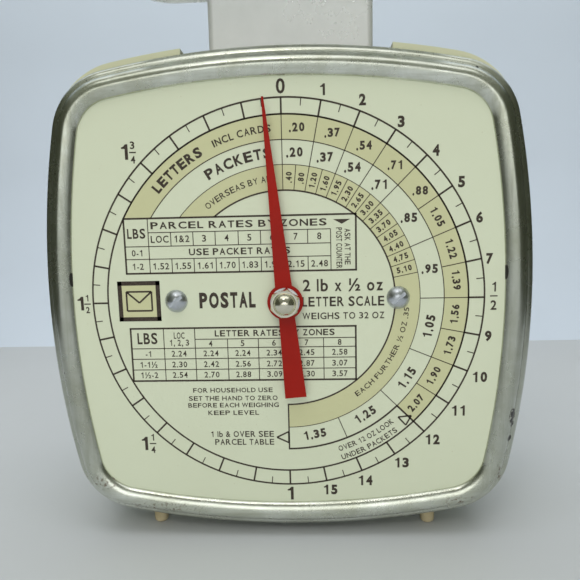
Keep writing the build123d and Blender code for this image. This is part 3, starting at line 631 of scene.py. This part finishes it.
def glyph_mesh(letter, bold):
    """Outline of one letter as points in curve units and faces."""
    if (letter, bold) in GLYPHS:
        return GLYPHS[(letter, bold)]
    curve = bpy.data.curves.new("line", "FONT")
    curve.body = letter
    curve.resolution_u = 3
    curve.offset = bold
    curve.extrude = GLYPH_THICKNESS
    holder = bpy.data.objects.new("line", curve)
    bpy.context.scene.collection.objects.link(holder)
    bpy.context.view_layer.update()
    mesh = bpy.data.meshes.new_from_object(holder.evaluated_get(bpy.context.evaluated_depsgraph_get()))
    work = bmesh.new()
    work.from_mesh(mesh)
    bmesh.ops.remove_doubles(work, verts=work.verts, dist=WELD)
    work.verts.index_update()
    points = np.array([v.co for v in work.verts], float).reshape(-1, 3)
    faces = [tuple(v.index for v in face.verts) for face in work.faces]
    work.free()
    bpy.data.meshes.remove(mesh)
    bpy.data.objects.remove(holder)
    bpy.data.curves.remove(curve)
    GLYPHS[(letter, bold)] = (points, faces)
    return GLYPHS[(letter, bold)]


def figure_one(bold):
    """The figure 1 with a flag, in a box 1 high; points (x, y, front) and faces."""
    stem = 0.125 + 1.6 * bold
    right = 0.46 + bold
    left = right - stem
    flag_left, flag_top, flag_bottom = left - 0.23, 0.80, 0.71
    outline = [(left, 0), (right, 0), (right, 1), (right - stem * 0.8, 1), (left - 0.08, 0.86),
               (flag_left, flag_top), (flag_left, flag_bottom), (left, flag_bottom)]
    count = len(outline)
    points = [(x, y, 1) for x, y in outline] + [(x, y, -1) for x, y in outline]
    faces = [(0, 1, 2, 3, 7), (3, 4, 5, 6, 7)]
    faces += [tuple(count + k for k in reversed(face)) for face in faces]
    faces += [((k + 1) % count, k, count + k, count + (k + 1) % count) for k in range(count)]
    return np.array(points, float), faces


def fitted_letter(letter, bold):
    """One letter in a cell as wide as its advance and 1 high: x, y, whether in front, and faces."""
    if letter == "1":
        points, faces = figure_one(bold)
        return points[:, 0] + FIGURE_ONE_SHIFT, points[:, 1], points[:, 2] > 0, faces
    ruler, _ = glyph_mesh("H", 0.0)
    base, cap = ruler[:, 1].min(), ruler[:, 1].max()
    points, faces = glyph_mesh(letter, bold)
    advance = ADVANCE.get(letter, DIGIT_ADVANCE) / EM
    ink = advance - BEARING / EM
    x = points[:, 0] - points[:, 0].min()
    if letter in ".,-I":
        ink = min(ink, x.max() / (cap - base) * NARROW_STRETCH)
    x = x / x.max() * ink + (advance - ink) / 2
    y = (points[:, 1] - base) / (cap - base)
    if letter.isdigit():
        y = (y - y.min()) / (y.max() - y.min())
    return x, y, points[:, 2] > 0, faces


def text_points(text, height, width, bold):
    """Line of grotesque capitals and figures, centred on the origin; capitals are `height` tall."""
    pen, count, xs, ys, fronts, faces = 0.0, 0, [], [], [], []
    for letter in text:
        if letter != " ":
            x, y, front, own = fitted_letter(letter, bold)
            xs.append(x + pen)
            ys.append(y)
            fronts.append(front)
            faces += [tuple(count + k for k in face) for face in own]
            count += len(x)
        pen += ADVANCE.get(letter, DIGIT_ADVANCE) / EM
    x, y, front = np.concatenate(xs), np.concatenate(ys), np.concatenate(fronts)
    x = (x - (x.min() + x.max()) / 2) * height
    if width:
        x = x * width / (x.max() - x.min())
    return x, (y - 0.5) * height, front, faces


def write(layer, text, place, height, turn=0.0, width=None, bold=0.012, align=0):
    """Straight line of text at a place; turn in degrees anticlockwise; align 1 ends it there."""
    x, y, front, faces = text_points(text, height, width, bold)
    x = x - align * x.max()
    a = math.radians(turn)
    layer.letters(place[0] + x * math.cos(a) - y * math.sin(a), place[1] + x * math.sin(a) + y * math.cos(a),
                  front, faces)


def write_arc(layer, text, radius, start, end, height, bold=0.012, inward=False):
    """Text bent along a circle between two angles clockwise from the top; inward reads from below."""
    side = -1 if inward else 1
    width = math.radians(abs(end - start)) * radius
    x, y, front, faces = text_points(text, height, width, bold)
    r = radius + side * y
    a = math.radians((start + end) / 2) + side * x / radius
    layer.letters(r * np.sin(a), r * np.cos(a), front, faces)


def around(place):
    """Angle of a place on the dial, in degrees clockwise from the top."""
    return math.degrees(math.atan2(place[0], place[1]))


def cut(level):
    """Angle at which a circle meets the top edge of the upper table on the left."""
    return lambda radius: -math.degrees(math.acos(level / radius))


OUNCE = 360 / 32
EDGE_RING, SCALE_RING, FIRST_RING, SECOND_RING, THIRD_RING = 1.0, 0.921, 0.80, 0.68, 0.555
BAND_RING = 0.92
TABLE_TOP = 0.431
ICON_LEFT, ICON_RIGHT, ICON_BOTTOM, ICON_TOP = -0.868, -0.647, -0.098, 0.112
bands = Print(BAND_TOP)
bands.band(FIRST_RING, BAND_RING, cut(TABLE_TOP), 12 * OUNCE)
bands.band(THIRD_RING, SECOND_RING, cut(TABLE_TOP), 180)
bands.outline([(ICON_LEFT, ICON_BOTTOM), (ICON_RIGHT, ICON_BOTTOM), (ICON_RIGHT, ICON_TOP),
               (ICON_LEFT, ICON_TOP)])
bands.piece("dial_bands", band_look)

scale = Print(INK_TOP)
HALF_OUNCE_INNER = 0.962
for radius in (EDGE_RING, SCALE_RING):
    scale.arc(radius, 0, 360, 0.0085)
for k in range(32):
    scale.ray(k * OUNCE, SCALE_RING, EDGE_RING, 0.009)
    scale.ray((k + 0.5) * OUNCE, HALF_OUNCE_INNER, EDGE_RING, 0.0047)
# The middle of each ounce's figure, in dial units.
OUNCES = {1: (0.2035, 1.029), 2: (0.395, 0.976), 3: (0.581, 0.868), 4: (0.75, 0.728), 5: (0.875, 0.574),
          6: (0.966, 0.40), 7: (1.02, 0.194), 9: (1.024, -0.2005), 10: (0.988, -0.4155),
          11: (0.882, -0.595), 12: (0.752, -0.752), 13: (0.593, -0.88), 14: (0.4015, -0.98),
          15: (0.215, -1.032)}
for ounce, place in OUNCES.items():
    write(scale, str(ounce), place, 0.055, bold=0.045)
write(scale, "0", (0, 1.052), 0.072, bold=0.022)
write(scale, "1", (0, -1.053), 0.073, bold=0.05)


def fraction(top, bottom, middle, small, bar):
    """Stacked fraction around its bar."""
    x, y = middle
    write(scale, top, (x, y + small * 0.95), small, bold=0.02)
    write(scale, bottom, (x, y - small * 0.95), small, bold=0.02)
    scale.bar((x - bar / 2, y), (x + bar / 2, y), 0.006)


fraction("1", "2", (1.046, 0.0055), 0.049, 0.037)
for top, bottom, middle, small, height, whole_place in (
        ("1", "4", (-0.733, -0.768), 0.037, 0.075, (-0.777, -0.7675)),
        ("1", "2", (-1.0315, -0.003), 0.033, 0.072, (-1.067, 0)),
        ("3", "4", (-0.744, 0.758), 0.037, 0.075, (-0.784, 0.761))):
    fraction(top, bottom, middle, small, 0.034)
    write(scale, "1", whole_place, height, bold=0.05)
scale.piece("dial_scale", ink_look)

lines = Print(INK_TOP)
lines.arc(BAND_RING, cut(TABLE_TOP), 12 * OUNCE, 0.004)
lines.arc(FIRST_RING, cut(TABLE_TOP), 12 * OUNCE, 0.0047)
lines.arc(FIRST_RING, 12 * OUNCE, 16 * OUNCE, 0.009)
lines.arc(SECOND_RING, cut(TABLE_TOP), 16 * OUNCE, 0.0035)
lines.arc(THIRD_RING, cut(TABLE_TOP), 16 * OUNCE, 0.008)
lines.bar((0, -0.551), (0, -0.8045), 0.0075)
for ounce in range(0, 12):
    lines.ray(ounce * OUNCE, FIRST_RING, BAND_RING, 0.0045)
lines.ray(12 * OUNCE, FIRST_RING, SCALE_RING, 0.0095)
for ounce in (0, 1, 2, 3, 4, 6, 8, 10, 12, 14):
    lines.ray(ounce * OUNCE, SECOND_RING, FIRST_RING, 0.0042)
for half_ounce in range(0, 15):
    lines.ray(half_ounce * OUNCE / 2, THIRD_RING, SECOND_RING, 0.0038)


HEAVY, LIGHT, MARK = 0.009, 0.0042, 0.008        # widths of rules, in dial units


def table(left, right, top, bottom, rules, columns):
    """Ruled table: a rule is (height, start, end) and a column (x, top, bottom)."""
    for y in (top, bottom):
        lines.bar((left - HEAVY / 2, y), (right + HEAVY / 2, y), HEAVY)
    for x in (left, right):
        lines.bar((x, top), (x, bottom), HEAVY)
    for y, start, end in rules:
        lines.bar((start, y), (end, y), LIGHT)
    for x, high_end, low_end in columns:
        lines.bar((x, high_end), (x, low_end), LIGHT)


TABLE_LEFT, UPPER_RIGHT, LOWER_RIGHT, LABEL_X, NOTE_X = -0.814, 0.359, 0.355, -0.691, 0.233
UPPER = (TABLE_TOP, 0.359, 0.289, 0.224, 0.151)
ZONE_X = (-0.576, -0.462, -0.349, -0.232, -0.119, -0.003, 0.118)
table(TABLE_LEFT, UPPER_RIGHT, UPPER[0], UPPER[4],
      [(UPPER[1], LABEL_X, NOTE_X), (UPPER[2], TABLE_LEFT, NOTE_X), (UPPER[3], TABLE_LEFT, NOTE_X)],
      [(LABEL_X, UPPER[0], UPPER[4]), (NOTE_X, UPPER[1], UPPER[4])]
      + [(x, UPPER[k], UPPER[k + 1]) for k in (1, 3) for x in ZONE_X])
LOWER = (-0.138, -0.198, -0.245, -0.3016, -0.3595, -0.42)
table(TABLE_LEFT, LOWER_RIGHT, LOWER[0], LOWER[5],
      [(LOWER[1], -0.478, LOWER_RIGHT)] + [(y, TABLE_LEFT, LOWER_RIGHT) for y in LOWER[2:5]],
      [(x, LOWER[0], LOWER[5]) for x in (-0.6415, -0.478)]
      + [(x, LOWER[1], LOWER[5]) for x in (-0.308, -0.1475, 0.015, 0.1895)])
lines.outline([(0.247, 0.406), (0.289, 0.383), (0.331, 0.406)])
# Two hollow arrowheads.
for a, b, c in (((0.64, -0.62), (0.572, -0.628), (0.612, -0.672)),
                ((-0.002, -0.705), (-0.065, -0.736), (-0.002, -0.766))):
    for p, q in ((a, b), (b, c), (c, a)):
        lines.bar(p, q, MARK)
lines.piece("dial_lines", ink_look)

rates = Print(INK_TOP)
RATE_BOLD = 0.045
for text, place in ((".20", (0.0747, 0.857)), (".37", (0.247, 0.826)), (".54", (0.4015, 0.761)),
                    (".71", (0.551, 0.663)), (".88", (0.675, 0.537))):
    write(rates, text, place, 0.043, bold=RATE_BOLD)
for text, place in (("1.05", (0.761, 0.406)), ("1.22", (0.831, 0.247)), ("1.39", (0.859, 0.089))):
    write(rates, text, place, 0.0395, turn=-around(place), bold=RATE_BOLD)
for text, place in (("1.56", (0.854, -0.084)), ("1.73", (0.831, -0.247)), ("1.90", (0.752, -0.406)),
                    ("2.07", (0.663, -0.551))):
    write(rates, text, place, 0.0395, turn=180 - around(place), bold=RATE_BOLD)
for text, place in ((".20", (0.061, 0.738)), (".37", (0.21, 0.71)), (".54", (0.344, 0.658)),
                    (".71", (0.474, 0.571)), (".85", (0.621, 0.406)), (".95", (0.726, 0.149))):
    write(rates, text, place, 0.046, bold=RATE_BOLD)
for text, place in (("1.05", (0.726, -0.145)), ("1.15", (0.616, -0.4155)), ("1.25", (0.4015, -0.613)),
                    ("1.35", (0.137, -0.719))):
    write(rates, text, place, 0.047, turn=180 - around(place), bold=RATE_BOLD)
SMALL_RATES = (".40", ".80", "1.20", "1.60", "1.95", "2.30", "2.65", "3.00", "3.35", "3.70", "4.05", "4.40",
               "4.75", "5.10")
for k, text in enumerate(SMALL_RATES):
    angle = (k + 0.5) * OUNCE / 2
    write(rates, text, polar((SECOND_RING + THIRD_RING) / 2, angle), 0.030, turn=90 - angle, bold=RATE_BOLD)
rates.piece("dial_rates", ink_look)

words = Print(INK_TOP)
write_arc(words, "LETTERS", 0.857, -48.5, -28, 0.045, bold=0.045)
write_arc(words, "INCL CARDS", 0.857, -23.5, -3.5, 0.033, bold=0.02)
write_arc(words, "PACKETS", 0.74, -31, -4, 0.047, bold=0.035)
write_arc(words, "OVERSEAS BY AIR", 0.616, -39, -4, 0.030)
write_arc(words, "EACH FURTHER ½ OZ .35", 0.615, 145, 94.3, 0.026, inward=True)
write_arc(words, "OVER 12 OZ LOOK", 0.843, 162, 140, 0.028, inward=True)
write_arc(words, "UNDER PACKETS", 0.893, 162, 141, 0.028, inward=True)
write(words, "LBS", (-0.752, 0.355), 0.047, width=0.093, bold=0.02)
write(words, "PARCEL RATES BY ZONES", (-0.231, 0.394), 0.033, width=0.89, bold=0.02)
ZONE_CENTRES = (-0.633, -0.519, -0.406, -0.291, -0.176, -0.061, 0.058, 0.176)
for text, x in zip(("LOC", "1&2", "3", "4", "5", "6", "7", "8"), ZONE_CENTRES):
    write(words, text, (x, 0.325), 0.034)
write(words, "0-1", (-0.754, 0.256), 0.032)
write(words, "USE PACKET RATES", (-0.229, 0.257), 0.032, width=0.515, bold=0.02)
write(words, "1-2", (-0.752, 0.187), 0.032)
for text, x in zip(("1.52", "1.55", "1.61", "1.70", "1.83", "1.97", "2.15", "2.48"), ZONE_CENTRES):
    write(words, text, (x, 0.187), 0.033)
write(words, "ASK AT THE", (0.317, 0.268), 0.028, turn=-90, width=0.18)
write(words, "POST COUNTER", (0.275, 0.262), 0.028, turn=-90, width=0.205)
write(words, "LBS", (-0.728, -0.191), 0.056, width=0.105, bold=0.02)
write(words, "LOC", (-0.56, -0.177), 0.032, width=0.056)
write(words, "1, 2, 3", (-0.56, -0.215), 0.032, width=0.10)
write(words, "LETTER RATES BY ZONES", (-0.063, -0.168), 0.031, width=0.62, bold=0.02)
ZONE_MIDDLES = (-0.397, -0.23, -0.067, 0.102, 0.272)
for text, x in zip("45678", ZONE_MIDDLES):
    write(words, text, (x, -0.2215), 0.031)
for y, label, values in ((-0.2736, "-1", ("2.24", "2.24", "2.24", "2.34", "2.45", "2.58")),
                         (-0.3315, "1-1½", ("2.30", "2.42", "2.56", "2.72", "2.87", "3.07")),
                         (-0.3885, "1½-2", ("2.54", "2.70", "2.88", "3.09", "3.30", "3.57"))):
    write(words, label, (-0.728, y), 0.031)
    for text, x in zip(values, (-0.565,) + ZONE_MIDDLES):
        write(words, text, (x, y), 0.031)
write(words, "2 lb x ½ oz", (0.291, 0.075), 0.060, width=0.404, bold=0.02)
write(words, "LETTER SCALE", (0.292, -0.0095), 0.047, width=0.416, bold=0.02)
write(words, "WEIGHS TO 32 OZ", (0.292, -0.0835), 0.033, width=0.416)
write(words, "POSTAL", (-0.30, 0.006), 0.072, width=0.29, bold=0.045)
for text, y, width in (("FOR HOUSEHOLD USE", -0.474, 0.42), ("SET THE HAND TO ZERO", -0.518, 0.47),
                       ("BEFORE EACH WEIGHING", -0.556, 0.48), ("KEEP LEVEL", -0.598, 0.27)):
    write(words, text, (-0.291, y), 0.0235, width=width)
write(words, "1 lb & OVER SEE", (-0.081, -0.717), 0.031, align=1)
write(words, "PARCEL TABLE", (-0.081, -0.761), 0.031, align=1)
words.piece("dial_words", ink_look)

def loop_of_bars(layer, left, right, bottom, top, width):
    """Rectangle drawn with four strokes whose middles are on its sides."""
    for y in (top, bottom):
        layer.bar((left, y), (right, y), width)
    for x in (left, right):
        layer.bar((x, bottom), (x, top), width)


icon = Print(INK_TOP)
ICON_EDGE, ENVELOPE_LINE, FLAP_DROP = 0.022, 0.009, 0.008
half_edge = ICON_EDGE / 2
for y in (ICON_TOP - half_edge, ICON_BOTTOM + half_edge):
    icon.bar((ICON_LEFT, y), (ICON_RIGHT, y), ICON_EDGE)
for x in (ICON_LEFT + half_edge, ICON_RIGHT - half_edge):
    icon.bar((x, ICON_BOTTOM), (x, ICON_TOP), ICON_EDGE)
left, right, bottom, top = ICON_LEFT + 0.045, ICON_RIGHT - 0.045, ICON_BOTTOM + 0.055, ICON_TOP - 0.055
loop_of_bars(icon, left, right, bottom, top, ENVELOPE_LINE)
flap = ((left + right) / 2, (bottom + top) / 2 - FLAP_DROP)
for corner in ((left, top), (right, top)):
    icon.bar(corner, flap, ENVELOPE_LINE)
icon.piece("dial_icon", ink_look)

# ------------------------------------------------------------------ main spring
spring_low, spring_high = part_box("main_spring")
axis_x, axis_y = (spring_low.x + spring_high.x) / 2, (spring_low.y + spring_high.y) / 2
WIRE = 0.6 * MM        # radius
HOOK_R = 5.0 * MM
END_GAP = 0.8 * MM     # from a hook's circle to the first coil
COILS, COIL_STEPS, HOOK_STEP = 20, 20, 15
COIL_R = (spring_high.x - spring_low.x) / 2 - WIRE
coil_low, coil_high = spring_low.z + WIRE + 2 * HOOK_R, spring_high.z - WIRE - 2 * HOOK_R


def hook(middle_z, first, last, step):
    """Part of a circle in the plane y = axis_y, between two angles in degrees."""
    return [(axis_x + HOOK_R * math.cos(math.radians(angle)), axis_y,
             middle_z + HOOK_R * math.sin(math.radians(angle))) for angle in range(first, last + step, step)]


line = hook(coil_low - HOOK_R, -60, 150, HOOK_STEP)
for k in range(COILS * COIL_STEPS + 1):
    t = k / (COILS * COIL_STEPS)
    a = math.pi + 2 * math.pi * COILS * t
    line.append((axis_x + COIL_R * math.cos(a), axis_y + COIL_R * math.sin(a),
                 coil_low + END_GAP + (coil_high - coil_low - 2 * END_GAP) * t))
line += hook(coil_high + HOOK_R, 180, -30, -HOOK_STEP)


def tube(name, path, radius, sides):
    """Closed round wire along a path."""
    path = [Vector(p) for p in path]
    points, faces = [], []
    side = Vector((0, 1, 0))
    for k, here in enumerate(path):
        ahead = (path[min(k + 1, len(path) - 1)] - path[max(k - 1, 0)]).normalized()
        side = (side - ahead * side.dot(ahead)).normalized()
        other = ahead.cross(side)
        for s in range(sides):
            a = 2 * math.pi * s / sides
            points.append(here + radius * (math.cos(a) * side + math.sin(a) * other))
    for k in range(len(path) - 1):
        for s in range(sides):
            n = (s + 1) % sides
            faces.append((k * sides + s, k * sides + n, (k + 1) * sides + n, (k + 1) * sides + s))
    faces.append(tuple(range(sides - 1, -1, -1)))
    faces.append(tuple((len(path) - 1) * sides + s for s in range(sides)))
    return mesh_piece(name, points, faces, sharp=60)


spring = tube("spring_coils", line, WIRE, 10)
spring.data.materials.append(spring_look.material)
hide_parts("main_spring")
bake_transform(spring)
